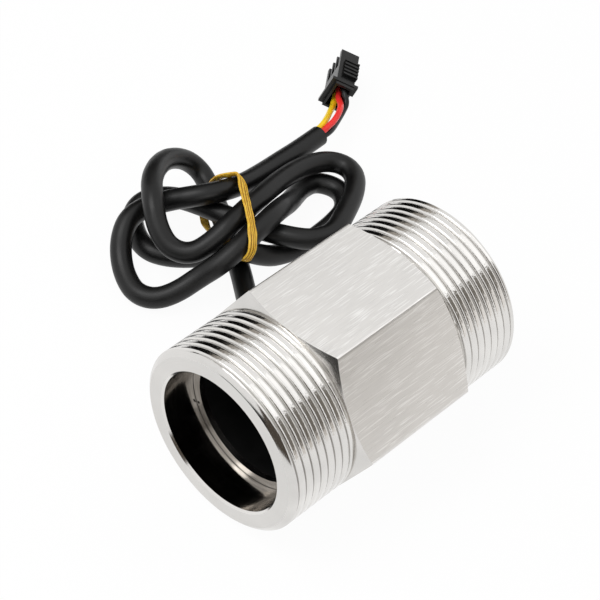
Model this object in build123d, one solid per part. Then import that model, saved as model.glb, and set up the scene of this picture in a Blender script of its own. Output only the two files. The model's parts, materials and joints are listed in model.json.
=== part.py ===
from build123d import *
from math import acos, cos, pi, radians, sin, sqrt, tan
import os

# Inline flow sensor: a hexagonal steel body with two threaded ends, a turbine wheel in
# its bore, a sensing board cast into one flat and a coiled lead with a wire connector.
# Millimetres. X runs along the flow axis from the near end to the far end, Z is up.

# Body
hex_across_flats = 48.0
hex_half_length = 18.2
hex_corner_half_length = 16.24
body_half_length = 37.87
thread_radius = 23.9
thread_depth = 1.5
undercut_width = 0.9
bore_bevel = 0.4

# Sensor pocket in the hidden flat, seen along the flat's own normal
pocket_radius = 7.0
pocket_depth = 4.6
pocket_wall = 1.15
pocket_fill_clearance = 0.05
chip_length = 4.0
chip_width = 3.0
chip_height = 1.5
chip_low = 0.2
board_radius = 6.0
board_thickness = 0.6
board_gap = 0.1
pin_radius = 0.25
pin_pitch = 1.27
pin_sunk = 0.2
pin_proud = 0.5
pin_hole_clearance = 0.05
small_part_offset = 2.6
resistor_length = 1.6
resistor_width = 0.8
resistor_height = 0.5
capacitor_length = 2.0
capacitor_width = 1.2
capacitor_height = 0.9
lead_radius = 0.4
lead_start_radius = 1.6
lead_pad_radius = 4.6
lead_turn_height = 0.8
lead_turn_radius = 0.4
lead_gap = 0.05
lead_hole_clearance = 0.05
cavity_radius = 6.2
cavity_height = 3.7
cable_recess = 0.6
recess_clearance = 0.06

# Snap rings and their grooves
ring_setback = 11.17
groove_depth = 0.75
groove_width = 1.6
ring_thickness = 1.5
ring_reach = 2.15
ring_outer_clearance = 0.05
plier_hole_radius = 0.4
plier_hole_angle = 336.0

# Liner and guides
liner_clearance = 0.05
guide_ring_length = 14.7
guide_hub_setback = 6.7
guide_hub_radius = 6.5
guide_hub_nose = 3.0
guide_vane_count = 4
guide_vane_thickness = 1.4
guide_vane_length = 6.0
guide_vane_setback = 7.7
vane_sunk = 0.5

# Turbine wheel
sensing_plane_x = 6.0
rotor_hub_radius = 6.5
rotor_hub_round = 0.8
hub_overhang = 0.6
rotor_ring_width = 3.4
rotor_ring_thickness = 1.8
blade_count = 6
blade_thickness = 1.2
blade_overhang = 0.3
blade_twist = 60.0
tip_clearance = 0.7
magnet_count = 4
magnet_radius = 1.2
magnet_length = 1.4
magnet_sunk = 0.1
magnet_clearance = 0.02
magnet_turn = 15.0

# Shaft, bushes and thrust washers
shaft_radius = 1.5
shaft_end_gap = 0.6
shaft_chamfer = 0.3
shaft_running_clearance = 0.05
shaft_fixed_clearance = 0.02
bush_radius = 3.0
bush_length = 5.0
bush_fit_clearance = 0.02
washer_thickness = 0.7
washer_radius = 3.4
washer_hole_radius = 1.7
rotor_end_gap = 0.3

# Lead
cable_radius = 2.8
wire_radius = 0.85
wire_offset = 1.25
wire_straight = 1.6
band_radius = 0.6

# Connector
connector_place = (81.93, 82.12, -20.14)
connector_heading = 37.2
connector_roll = 21.2
row_low = -0.9
row_high = 8.3
housing_length = 13.5
tail_length = 1.2
flange_thickness = 1.0
flange_width = 7.7
flange_overhang = 0.2
notch_width = 2.7
notch_depth = 1.1
body_low = 1.26
body_high = 6.6
recess_depth = 3.0
recess_wall = 0.7
recess_low = 1.9
recess_high = 5.9
cavity_size = 2.1
cavity_pitch = 2.5
cavity_first = 1.2
cavity_middle = 3.9
comb_wall = 0.55
comb_start = 7.4
comb_depth = 1.9
grip_start = 3.0
grip_length = 6.3
grip_low = 2.6
grip_high = 6.9
grip_height = 0.6
rib_count = 5
rib_thickness = 0.6
rib_height = 0.3
contact_size = 1.2
contact_start = 3.6
contact_length = 5.0

# Sizes that follow from the ones above
bore_radius = hex_across_flats / 2 - pocket_depth - pocket_wall
undercut_radius = thread_radius - thread_depth
groove_radius = bore_radius + groove_depth
groove_inner_face = body_half_length - ring_setback
ring_inner_radius = bore_radius - ring_reach
liner_inner_radius = ring_inner_radius
guide_ring_inner_face = groove_inner_face - guide_ring_length
guide_hub_end = groove_inner_face - guide_hub_setback
guide_vane_end = groove_inner_face - guide_vane_setback
guide_vane_start = guide_vane_end - guide_vane_length
blade_half_length = sensing_plane_x + rotor_ring_width / 2 + blade_overhang
rotor_hub_half_length = blade_half_length + hub_overhang
guide_hub_face = rotor_hub_half_length + rotor_end_gap + washer_thickness
rotor_tip_radius = liner_inner_radius - tip_clearance
rotor_ring_inner_radius = rotor_tip_radius - rotor_ring_thickness
shaft_half_length = guide_hub_face + bush_length - shaft_end_gap
board_low = chip_low + chip_height + board_gap
board_high = board_low + board_thickness
recess_floor = pocket_depth - cable_recess

os.makedirs("parts", exist_ok=True)


def save(shape, name):
    shape.label = name
    export_step(shape, "parts/" + name + ".step")
    print(name, "volume", round(shape.volume, 1))
    return shape


def turned(profile):
    # Each point is a position along the axis and a radius.
    outline = Polyline(*[(x, 0, r) for x, r in profile], close=True)
    return revolve(make_face(outline), axis=Axis.X)


def tube(low, high, inner, outer):
    return turned([(low, inner), (low, outer), (high, outer), (high, inner)])


def disc(low, high, radius):
    return turned([(low, 0), (low, radius), (high, radius), (high, 0)])


def mirrored(profile):
    return [(-x, r) for x, r in profile]


def bend_radii(points, closed=False):
    points = [Vector(*p) for p in points]
    count = len(points)
    corners = range(count) if closed else range(1, count - 1)
    radii = []
    for i in corners:
        before = points[i] - points[i - 1]
        after = points[(i + 1) % count] - points[i]
        turn = radians(before.get_angle(after))
        shorter = min(before.length, after.length)
        radii.append(0.45 * shorter / tan(turn / 2))
    return radii


def swept(points, radius, name):
    radii = bend_radii(points)
    print(name, "bend radii", [round(r, 1) for r in radii])
    path = FilletPolyline(*points, radius=radii) if radii else Line(*points)
    start = Plane(origin=path @ 0, z_dir=path % 0)
    solid = sweep(start * Circle(radius), path=path)
    expected = pi * radius * radius * path.length
    print(name, "length", round(path.length, 1), "volume over section", round(solid.volume / expected, 4))
    return solid


# Body: the hexagon's corners are turned down to a cone at each end.
cone_slope = (2 / sqrt(3) - 1) * hex_across_flats / 2 / (hex_half_length - hex_corner_half_length)
cone_reach = 3.0
cone_top = hex_across_flats / 2 + cone_slope * cone_reach
hex_bar = Plane.YZ.offset(-hex_half_length) * RegularPolygon(hex_across_flats / 2, 6, major_radius=False)
hex_bar = extrude(hex_bar, 2 * hex_half_length)
cone_profile = [
    (-hex_half_length, 0),
    (-hex_half_length, hex_across_flats / 2),
    (-hex_half_length + cone_reach, cone_top),
    (hex_half_length - cone_reach, cone_top),
    (hex_half_length, hex_across_flats / 2),
    (hex_half_length, 0),
]
body = hex_bar & turned(cone_profile)
end_profile = [
    (hex_half_length - 1, 0),
    (hex_half_length - 1, undercut_radius),
    (hex_half_length + undercut_width, undercut_radius),
    (hex_half_length + undercut_width, thread_radius),
    (body_half_length - thread_depth, thread_radius),
    (body_half_length, undercut_radius),
    (body_half_length, 0),
]
bevel_profile = [
    (body_half_length - bore_bevel - 0.1, 0),
    (body_half_length - bore_bevel - 0.1, bore_radius - 0.1),
    (body_half_length + 0.1, bore_radius + bore_bevel + 0.1),
    (body_half_length + 0.1, 0),
]
groove_outer_face = groove_inner_face + groove_width
body += turned(end_profile)
body += turned(mirrored(end_profile))
body -= disc(-body_half_length - 1, body_half_length + 1, bore_radius)
body -= turned(bevel_profile)
body -= turned(mirrored(bevel_profile))
body -= tube(groove_inner_face, groove_outer_face, bore_radius - 1, groove_radius)
body -= tube(-groove_outer_face, -groove_inner_face, bore_radius - 1, groove_radius)

# The pocket's own frame: its origin is the middle of the pocket's floor and z points out.
flat_normal = Vector(0, cos(radians(-30)), sin(radians(-30)))
floor_origin = Vector(sensing_plane_x, 0, 0) + flat_normal * (hex_across_flats / 2 - pocket_depth)
pocket = Plane(origin=floor_origin, x_dir=(1, 0, 0), z_dir=flat_normal)
body -= extrude(pocket * Circle(pocket_radius), pocket_depth + 1)
save(body, "body")

# Snap rings, each seated on its groove's inner face
ring_outer_radius = groove_radius - ring_outer_clearance
ring_face = groove_inner_face + ring_thickness
hole_middle = (ring_outer_radius + ring_inner_radius) / 2
hole_y = hole_middle * cos(radians(plier_hole_angle))
hole_z = hole_middle * sin(radians(plier_hole_angle))
for name, side in (("inlet_snap_ring", -1), ("outlet_snap_ring", 1)):
    low = min(side * groove_inner_face, side * ring_face)
    ring = tube(low, low + ring_thickness, ring_inner_radius, ring_outer_radius)
    hole = Plane.YZ.offset(low - 1) * Pos(hole_y, hole_z) * Circle(plier_hole_radius)
    ring -= extrude(hole, ring_thickness + 2)
    save(ring, name)

# Guides: a ring against the snap ring, straight vanes and a hub that holds the bush
liner_radius = bore_radius - liner_clearance
for name, side in (("inlet_guide", -1), ("outlet_guide", 1)):
    ring = tube(guide_ring_inner_face, groove_inner_face, liner_inner_radius, liner_radius)
    hub = disc(guide_hub_face, guide_hub_end, guide_hub_radius)
    hub = fillet(hub.edges().sort_by(Axis.X)[-1], guide_hub_nose)
    guide = ring + hub
    for k in range(guide_vane_count):
        span = liner_inner_radius - guide_hub_radius + 2 * vane_sunk
        vane = Box(guide_vane_end - guide_vane_start, guide_vane_thickness, span)
        middle = ((guide_vane_start + guide_vane_end) / 2, 0, guide_hub_radius - vane_sunk + span / 2)
        guide += Rot(45 + k * 360 / guide_vane_count, 0, 0) * Pos(*middle) * vane
    guide -= disc(guide_hub_face - 1, guide_hub_face + bush_length, bush_radius + bush_fit_clearance)
    if side < 0:
        guide = mirror(guide, about=Plane.YZ)
    save(guide, name)
save(tube(-guide_ring_inner_face, guide_ring_inner_face, liner_inner_radius, liner_radius), "liner_sleeve")

# Turbine wheel: twisted blades between a hub and the ring that carries the magnets
rotor = disc(-rotor_hub_half_length, rotor_hub_half_length, rotor_hub_radius)
rotor = fillet(rotor.edges().filter_by(GeomType.CIRCLE), rotor_hub_round)
blade_root = rotor_hub_radius - vane_sunk
blade_section = Plane.YZ.offset(-blade_half_length) * Pos((blade_root + rotor_tip_radius) / 2, 0)
blade_section = blade_section * Rectangle(rotor_tip_radius - blade_root, blade_thickness)
blade = Solid.extrude_linear_with_rotation(
    blade_section.face(), (-blade_half_length, 0, 0), (2 * blade_half_length, 0, 0), blade_twist
)
blade &= disc(-blade_half_length - 1, blade_half_length + 1, rotor_tip_radius)
for k in range(blade_count):
    rotor += Rot(k * 360 / blade_count, 0, 0) * blade
ring_low = sensing_plane_x - rotor_ring_width / 2
rotor += tube(ring_low, ring_low + rotor_ring_width, rotor_ring_inner_radius, rotor_tip_radius)
rotor -= disc(-rotor_hub_half_length - 1, rotor_hub_half_length + 1, shaft_radius + shaft_fixed_clearance)
magnet_seat = rotor_tip_radius - magnet_length - magnet_sunk
for k in range(magnet_count):
    seat = Rot(k * 360 / magnet_count + magnet_turn, 0, 0) * Pos(sensing_plane_x, 0, magnet_seat)
    rotor -= seat * extrude(Circle(magnet_radius + magnet_clearance), magnet_length + 1)
    magnet = seat * extrude(Circle(magnet_radius), magnet_length)
    save(magnet, "rotor_magnet_" + str(k + 1))
save(rotor, "rotor")

shaft_profile = [
    (-shaft_half_length, 0),
    (-shaft_half_length, shaft_radius - shaft_chamfer),
    (-shaft_half_length + shaft_chamfer, shaft_radius),
    (shaft_half_length - shaft_chamfer, shaft_radius),
    (shaft_half_length, shaft_radius - shaft_chamfer),
    (shaft_half_length, 0),
]
save(turned(shaft_profile), "shaft")
bush_bore = shaft_radius + shaft_running_clearance
for name, side in (("inlet", -1), ("outlet", 1)):
    bush_low = min(side * guide_hub_face, side * (guide_hub_face + bush_length))
    washer_low = min(side * guide_hub_face, side * (guide_hub_face - washer_thickness))
    save(tube(bush_low, bush_low + bush_length, bush_bore, bush_radius), name + "_bush")
    washer = tube(washer_low, washer_low + washer_thickness, washer_hole_radius, washer_radius)
    save(washer, name + "_thrust_washer")

# Sensing board stack in the pocket
chip = pocket.offset(chip_low) * Rectangle(chip_length, chip_width)
chip = extrude(chip, chip_height)
board = extrude(pocket.offset(board_low) * Circle(board_radius), board_thickness)
for k in range(3):
    pin_spot = Pos((k - 1) * pin_pitch, 0)
    pin = pocket.offset(chip_low + chip_height - pin_sunk) * pin_spot * Circle(pin_radius)
    chip += extrude(pin, pin_sunk + board_gap + board_thickness + pin_proud)
    board -= extrude(pocket * pin_spot * Circle(pin_radius + pin_hole_clearance), pocket_depth)
save(chip, "hall_sensor")
save(board, "sensor_board")
resistor = pocket.offset(board_high) * Pos(0, small_part_offset) * Rectangle(resistor_length, resistor_width)
resistor = extrude(resistor, resistor_height)
save(resistor, "board_resistor")
capacitor = pocket.offset(board_high) * Pos(0, -small_part_offset) * Rectangle(capacitor_length, capacitor_width)
capacitor = extrude(capacitor, capacitor_height)
save(capacitor, "board_capacitor")
lead_holes = []
for name, angle in (("lead_black", 90 + 60), ("lead_red", 0), ("lead_yellow", 210)):
    place = Plane(pocket * Rot(0, 0, angle))
    turn_height = board_high + lead_turn_height
    corners = [
        (lead_start_radius, 0, recess_floor - lead_gap),
        (lead_start_radius, 0, turn_height),
        (lead_pad_radius, 0, turn_height),
        (lead_pad_radius, 0, board_high),
    ]
    corners = [place.from_local_coords(Vector(*c)) for c in corners]
    route = FilletPolyline(*corners, radius=lead_turn_radius)
    start = Plane(origin=route @ 0, z_dir=route % 0)
    save(sweep(start * Circle(lead_radius), path=route), name)
    hole = place.offset(cavity_height - 0.5) * Pos(lead_start_radius, 0)
    lead_holes.append(extrude(hole * Circle(lead_radius + lead_hole_clearance), 1.5))

# The lead: hand-laid route of the coil, from the recess in the flat to the sheath's end
cable_points = [
    (6, 20.265, -11.7), (6, 27, -15.588), (8.5, 35, -19.6), (13, 42.4, -21.1),
    (18.4, 50.2, -21.1), (24.4, 59.2, -21.1), (30.2, 68.6, -21.1), (34.4, 77, -20.4),
    (35.6, 83, -18), (32, 87, -14), (25, 85.6, -9.6), (15, 79, -5.8),
    (9, 72, -6), (6, 67, -10), (5.4, 61.6, -13.2), (8.2, 56.8, -13.6),
    (13, 54.4, -10.8), (20, 54, -7.4), (30.4, 56.2, -8.6), (44.6, 60.6, -10.8),
    (55.6, 62.4, -13.2), (62.6, 60.6, -15.4), (65.8, 55.4, -16), (64.2, 49.6, -16),
    (58, 45, -15.6), (50.4, 41.6, -15.2), (43, 39.8, -15), (37, 41.6, -14.8),
    (33.4, 45.2, -14.8), (30.2, 50.6, -15), (27.6, 56, -15.2), (25, 62.4, -14.2),
    (23.6, 70.4, -15.4), (23.2, 78.2, -17.6), (20.8, 84.2, -19), (16, 86.2, -20.2),
    (10.6, 84.4, -21.1), (6.4, 78, -21.1), (5, 71, -21.1), (7.6, 65, -21.1),
    (11.4, 59.6, -20), (15.2, 54.2, -16.4), (19.4, 50.2, -14.4), (25, 47.4, -17),
    (30.4, 45.2, -21), (37, 44, -21.1), (44, 44.4, -21.1), (51, 45.4, -21.1),
    (57.2, 47.4, -21.1), (61, 52.2, -20.8), (60, 57.6, -20.2), (54.8, 60.2, -19.4),
    (48.8, 58.4, -17.6), (42.4, 54.4, -13.8), (33.2, 51, -9.2), (22.6, 48, -7.8),
    (15, 46.4, -8.8), (10, 48, -11.6), (6, 51, -15.6), (0.4, 53, -18.8),
    (-4.4, 56, -20.6), (-7, 61.6, -21.1), (-5.6, 67.6, -20.4), (-3, 72.4, -18.4),
    (0.4, 76, -15.4), (6, 79, -13.2), (12.4, 78.4, -12.8), (17.6, 74, -11.2),
    (21, 69, -8.8), (26.4, 65.8, -8.4), (33.6, 65, -10), (43, 66.6, -12.4),
    (52.4, 68, -14), (60, 68.6, -15.2), (67, 68.8, -15.8),
]
cable = save(swept(cable_points, cable_radius, "cable"), "cable")

# Potting: closes the pocket over the board and keeps a recess for the lead
potting = extrude(pocket * Circle(pocket_radius - pocket_fill_clearance), pocket_depth)
potting -= extrude(pocket.offset(-1) * Circle(cavity_radius), cavity_height + 1)
potting -= extrude(pocket.offset(recess_floor) * Circle(cable_radius + recess_clearance), cable_recess + 1)
for hole in lead_holes:
    potting -= hole
save(potting, "potting")

# Connector: its own frame has x along the mating direction and z along the row of ways
connector = Pos(*connector_place) * Rot(0, 0, connector_heading) * Rot(connector_roll, 0, 0)


def block(x0, x1, t0, t1, r0, r1):
    # x is along the mating direction, t the thickness and r the row
    middle = ((x0 + x1) / 2, -(t0 + t1) / 2, (r0 + r1) / 2)
    return Pos(*middle) * Box(x1 - x0, t1 - t0, r1 - r0)


housing = block(-tail_length, housing_length, body_low, body_high, row_low, row_high)
flange_low = row_low - flange_overhang
flange_high = row_high + flange_overhang
row_middle = (row_low + row_high) / 2
flange = block(0, flange_thickness, 0, flange_width, flange_low, flange_high)
notch_low = row_middle - notch_width / 2
flange -= block(-1, 2, flange_width - notch_depth, flange_width + 1, notch_low, notch_low + notch_width)
housing += flange
grip_end = grip_start + grip_length
housing += block(grip_start, grip_end, grip_low, grip_high, row_high - 0.5, row_high + grip_height)
rib_pitch = (grip_length - rib_thickness) / (rib_count - 1)
for k in range(rib_count):
    x = grip_start + k * rib_pitch
    rib_top = row_high + grip_height + rib_height
    housing += block(x, x + rib_thickness, grip_low, grip_high, row_high, rib_top)
housing -= block(-2, recess_depth, recess_low, recess_high, row_low + recess_wall, row_high - recess_wall)
way_middles = [cavity_first + k * cavity_pitch for k in range(3)]
half = cavity_size / 2
comb_half = (cavity_pitch - comb_wall) / 2
for r in way_middles:
    far_end = housing_length + 1
    housing -= block(recess_depth - 1, far_end, cavity_middle - half, cavity_middle + half, r - half, r + half)
    housing -= block(comb_start, far_end, 0, body_low + comb_depth, r - comb_half, r + comb_half)
housing = connector * housing
save(housing, "connector_housing")

way_names = ["yellow", "red", "black"]
for name, r in zip(way_names, way_middles):
    half_contact = contact_size / 2
    contact = block(
        contact_start,
        contact_start + contact_length,
        cavity_middle - half,
        cavity_middle - half + contact_size,
        r - half_contact,
        r + half_contact,
    )
    save(connector * contact, "contact_" + name)

# Wires: from the sheath's end to the crimps, each beside its own way
sheath_end = Vector(*cable_points[-1])
end_direction = (sheath_end - Vector(*cable_points[-2])).normalized()
side_y = Vector(0, -1, 0) - end_direction * end_direction.dot(Vector(0, -1, 0))
side_y = side_y.normalized()
side_z = end_direction.cross(side_y) * -1
if side_z.Z < 0:
    side_z = side_z * -1
# Each wire leaves the sheath at a turn round its axis, passes its own points and goes in
# at a place given as depth, thickness and row in the connector's frame.
wire_routes = {
    "black": (-50, [(72.22, 68.52, -17.3), (77.14, 70.85, -18.3), (80.98, 72.59, -18.6), (83.91, 73.82, -18)],
              [(-1.6, 5.0), (1.2, cavity_middle)]),
    "red": (55, [(70.23, 68.3, -14.6), (73.29, 68.77, -14.5), (76.89, 70.33, -14.6), (79.94, 72.5, -15.2)],
            [(-1.6, 4.2), (1.2, cavity_middle)]),
    "yellow": (160, [(70.68, 70.17, -14.9), (75.33, 72.81, -16.6), (80.16, 75.86, -18.6)],
               [(-2.5, cavity_middle)]),
}
for name, r in zip(way_names, way_middles):
    angle, via, entry = wire_routes[name]
    turn = radians(angle)
    start = sheath_end + side_y * wire_offset * cos(turn) + side_z * wire_offset * sin(turn)
    first = start + end_direction * wire_straight
    inside = [connector * Pos(x, -t, r) for x, t in entry + [(contact_start, cavity_middle)]]
    points = [start, first] + [Vector(*v) for v in via] + [place.position for place in inside]
    save(swept([tuple(p) for p in points], wire_radius, "wire_" + name), "wire_" + name)

# Elastic band round the crossing strands of the coil
band_points = [
    (31.4, 69.4, -6.8), (30.2, 64.6, -4.4), (27.2, 58.4, -4.0), (24.2, 52.4, -3.8),
    (20.8, 46, -4.0), (18.2, 42.6, -6.2), (18.6, 42.0, -9.8), (21.6, 44.4, -11.8),
    (23.6, 49.6, -11.9), (22.4, 54.8, -13.2), (20.8, 59.6, -16), (21, 66, -19),
    (24.4, 72, -20.8), (29, 73.4, -16.6), (31, 72.8, -11),
]
# The loop is made of two lengths that meet in the middle of straight runs.
band_count = len(band_points)
band_split = band_count // 2


def between(first, second):
    return tuple((a + b) / 2 for a, b in zip(first, second))


band_join = between(band_points[band_split], band_points[band_split + 1])
band_close = between(band_points[-1], band_points[0])
band_radii = bend_radii(band_points, True)
print("rubber_band bend radii", [round(r, 1) for r in band_radii])
first_half = [band_close] + band_points[: band_split + 1] + [band_join]
second_half = [band_join] + band_points[band_split + 1 :] + [band_close]
band = None
for half_points, half_radii in (
    (first_half, band_radii[: band_split + 1]),
    (second_half, band_radii[band_split + 1 :]),
):
    path = FilletPolyline(*half_points, radius=half_radii)
    length = sweep(Plane(origin=path @ 0, z_dir=path % 0) * Circle(band_radius), path=path)
    band = length if band is None else band + length
save(band, "rubber_band")
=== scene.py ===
import json
import math

import bmesh
import bpy
from bpy.props import FloatProperty, FloatVectorProperty, PointerProperty
from mathutils import Matrix, Vector

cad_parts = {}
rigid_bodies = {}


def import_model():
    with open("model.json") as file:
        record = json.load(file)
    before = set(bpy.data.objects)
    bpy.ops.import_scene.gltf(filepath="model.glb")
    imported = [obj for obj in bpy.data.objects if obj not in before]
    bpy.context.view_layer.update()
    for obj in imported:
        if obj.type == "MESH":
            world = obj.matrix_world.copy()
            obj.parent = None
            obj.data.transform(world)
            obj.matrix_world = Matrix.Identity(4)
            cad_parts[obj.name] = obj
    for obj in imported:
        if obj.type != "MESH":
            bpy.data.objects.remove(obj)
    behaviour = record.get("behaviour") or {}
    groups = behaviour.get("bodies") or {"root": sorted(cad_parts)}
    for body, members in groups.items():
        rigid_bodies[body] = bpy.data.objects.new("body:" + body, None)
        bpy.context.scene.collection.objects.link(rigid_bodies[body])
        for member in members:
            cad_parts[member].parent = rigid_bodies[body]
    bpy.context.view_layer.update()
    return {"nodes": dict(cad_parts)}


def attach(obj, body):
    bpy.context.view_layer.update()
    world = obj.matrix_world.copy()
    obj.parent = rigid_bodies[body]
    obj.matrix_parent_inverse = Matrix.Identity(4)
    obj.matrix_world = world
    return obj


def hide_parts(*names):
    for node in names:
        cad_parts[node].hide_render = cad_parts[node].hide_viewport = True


bl_info = {
    "name": "Inline Flow Sensor",
    "version": (1, 0, 0),
    "blender": (4, 5, 0),
    "location": "View3D > Sidebar > Flow Sensor",
    "description": "Hexagonal stainless steel flow sensor with threaded ends and a coiled lead",
    "category": "Object",
}

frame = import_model()
NODES = frame["nodes"]
MM = 0.001
HOUSING = "housing"

FLOOR_HEIGHT = -24 * MM
THREAD_FLANK = math.radians(27.5)
# The lead leaves through a round pocket in the lower flat on its own side.
POCKET_ANGLE = math.radians(-30)
POCKET_PLACE = 6 * MM
POCKET_RADIUS = 7 * MM
POCKET_CUTTER_LENGTH = 9.2 * MM

# Route of the lead through the coil, millimetres, as control points of its centre line.
CABLE_ROUTE = [
    (6, 20.265, -11.7), (6, 27, -15.588), (8.7, 34.8, -19.6), (13.8, 41.7, -21.1),
    (19.2, 49.5, -21.1), (24.8, 58.9, -21.1), (30.2, 68.6, -21.1), (34.4, 77, -20.4),
    (35.2, 82, -18), (31.6, 84.8, -14), (24, 84.2, -9.6), (14.6, 78.6, -5.8),
    (9, 72, -6), (6, 67, -10), (5.4, 61.6, -13.2), (8.2, 56.8, -13.6),
    (13, 54.4, -10.8), (20, 54, -7.4), (30.4, 56.2, -8.2), (43.5, 59.5, -10.8),
    (53.8, 60.6, -13.2), (61.3, 59.4, -15.4), (64.1, 55.3, -16), (62.7, 50.4, -16),
    (57, 45.9, -15.6), (50.1, 42.4, -15.2), (42.2, 39, -15), (36.1, 40.7, -14.6),
    (32.6, 44.6, -14.4), (29.6, 50.1, -14.5), (27.6, 56, -15.2), (25, 62.4, -14.2),
    (23.6, 70.4, -15.4), (22.7, 77.6, -17.6), (19.8, 82, -19), (16.2, 84.1, -20.2),
    (11.7, 82.5, -21.1), (8, 77.1, -21.1), (6.1, 71, -21.1), (8.3, 65.8, -21.1),
    (12.1, 60.4, -20), (15.4, 54.5, -16.4), (19.4, 50.2, -14.2), (26, 47.2, -18.9),
    (31.6, 46.4, -21), (37.6, 44.9, -21.1), (43.2, 45.1, -21.1), (49.6, 45.6, -21.1),
    (56.6, 47.4, -21.1), (60.4, 53.2, -20.9), (57.2, 59.4, -20.4), (51.6, 59.4, -19.4),
    (46.6, 57.2, -17.4), (41, 54.1, -14.2), (32.5, 50.4, -8.9), (22.6, 48, -7.8),
    (15.6, 47.3, -8.8), (10, 48, -11.6), (6, 51, -15.6), (0.4, 53, -18.8),
    (-4.4, 56, -20.6), (-6.4, 61.1, -21.1), (-4.8, 66.9, -20.4), (-2.1, 71.6, -18.4),
    (0.9, 74.6, -15.4), (5.3, 76.7, -13.2), (11.3, 76.4, -12.8), (16.5, 72.8, -11.2),
    (20.1, 68.1, -8.8), (25.5, 64.9, -8.4), (32.7, 64.1, -10), (41.8, 65.4, -12.4),
    (51, 66.6, -14), (59, 67.4, -15.2), (66.8, 68.2, -15.8),
]

# Each wire's route from inside the sheath's end to its way in the connector.
WIRE_ROUTES = {
    "black": [
        (65.95, 67.97, -16.67), (66.94, 68.0, -16.76), (68.53, 68.04, -16.89), (72.22, 68.52, -17.3),
        (77.14, 70.85, -18.3), (80.98, 72.59, -18.6), (83.91, 73.82, -18.0), (84.83, 75.65, -16.17),
        (86.44, 78.16, -15.77), (88.35, 79.61, -15.77),
    ],
    "red": [
        (66.11, 68.05, -14.70), (67.11, 68.08, -14.78), (68.7, 68.13, -14.92), (70.23, 68.3, -14.6),
        (73.29, 68.77, -14.5), (76.89, 70.33, -14.6), (79.94, 72.5, -15.2), (83.83, 76.97, -18.21),
        (85.89, 78.88, -18.1), (87.8, 80.33, -18.1),
    ],
    "yellow": [
        (66.01, 69.95, -15.29), (67.0, 69.97, -15.37), (68.6, 70.02, -15.51), (70.68, 70.17, -14.9),
        (75.33, 72.81, -16.6), (80.16, 75.86, -18.6), (82.4, 77.37, -20.43), (87.26, 81.05, -20.43),
    ],
}

# Closed route of the elastic band that ties the coil.
BAND_ROUTE = [
    (30.3, 71.5, -12.6), (29.3, 68.6, -8), (30, 65.8, -5.9), (31.9, 64.8, -5.7),
    (31.2, 62.4, -6), (27.9, 58.3, -5.2), (24.4, 53.7, -3.9), (22.7, 50.8, -5),
    (19.8, 47.1, -4.8), (17.7, 44.6, -5.8), (16.2, 43.2, -7.8), (15.4, 44.6, -11.4),
    (16.4, 48.2, -13.4), (16.7, 50.1, -11.8), (17.3, 52.4, -11.3), (19.3, 56.6, -14.7),
    (21.7, 62.4, -19.1), (24.4, 67.4, -22.2), (25.8, 70, -21.7), (27.6, 71.9, -19.9),
    (29.4, 72.6, -16.8),
]


def linear(code):
    """A colour written as sRGB hex, turned into linear light."""
    code = code.lstrip("#")
    out = []
    for k in (0, 2, 4):
        v = int(code[k : k + 2], 16) / 255
        out.append(v / 12.92 if v <= 0.04045 else ((v + 0.055) / 1.055) ** 2.4)
    return (*out, 1.0)


# Sizes and colours that a user would change.


class SensorBodySizes(bpy.types.PropertyGroup):
    """Sizes of the steel body"""

    across_flats: FloatProperty(
        name="Across Flats", description="Width of the hexagon", default=0.048, unit="LENGTH", precision=4
    )
    half_length: FloatProperty(
        name="Half Length", description="Middle of the body to an end face",
        default=0.03787, unit="LENGTH", precision=5
    )
    hex_half_length: FloatProperty(
        name="Hexagon Half Length", description="Middle to the shoulder of the hexagon",
        default=0.0182, unit="LENGTH", precision=5
    )
    corner_half_length: FloatProperty(
        name="Corner Half Length", description="Middle to where the corners are turned down",
        default=0.01624, unit="LENGTH", precision=5
    )
    thread_radius: FloatProperty(
        name="Thread Radius", description="Major radius of the pipe thread",
        default=0.0239, unit="LENGTH", precision=5
    )
    thread_pitch: FloatProperty(
        name="Thread Pitch", description="Distance between two crests",
        default=0.002309, unit="LENGTH", precision=6
    )
    thread_depth: FloatProperty(
        name="Thread Depth", description="Flat crest to root of the thread",
        default=0.00068, unit="LENGTH", precision=6
    )
    crest_width: FloatProperty(
        name="Crest Width", description="Width of the flat crests",
        default=0.0015, unit="LENGTH", precision=5
    )
    crest_edge: FloatProperty(
        name="Crest Edge", description="Rounding at the edges of the crests",
        default=0.0002, unit="LENGTH", precision=5
    )
    bore_radius: FloatProperty(
        name="Bore Radius", description="Radius of the open bore",
        default=0.01825, unit="LENGTH", precision=5
    )
    steel_colour: FloatVectorProperty(
        name="Steel", description="Colour of the turned stainless steel", subtype="COLOR", size=3,
        default=linear("#dcdad7")[:3], min=0, max=1
    )


class SensorLeadSizes(bpy.types.PropertyGroup):
    """Sizes and colours of the lead"""

    cable_diameter: FloatProperty(
        name="Cable Diameter", description="Outside of the sheath",
        default=0.0056, unit="LENGTH", precision=4
    )
    wire_diameter: FloatProperty(
        name="Wire Diameter", description="Outside of one wire's insulation",
        default=0.0017, unit="LENGTH", precision=4
    )
    band_width: FloatProperty(
        name="Band Width", description="Width of the elastic band laid flat",
        default=0.0024, unit="LENGTH", precision=4
    )
    red: FloatVectorProperty(
        name="Red Wire", description="Colour of the red insulation", subtype="COLOR", size=3,
        default=linear("#f03430")[:3], min=0, max=1
    )
    yellow: FloatVectorProperty(
        name="Yellow Wire", description="Colour of the yellow insulation", subtype="COLOR", size=3,
        default=linear("#fbd21e")[:3], min=0, max=1
    )
    black: FloatVectorProperty(
        name="Black Wire", description="Colour of the black insulation", subtype="COLOR", size=3,
        default=linear("#0e0e0e")[:3], min=0, max=1
    )


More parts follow.
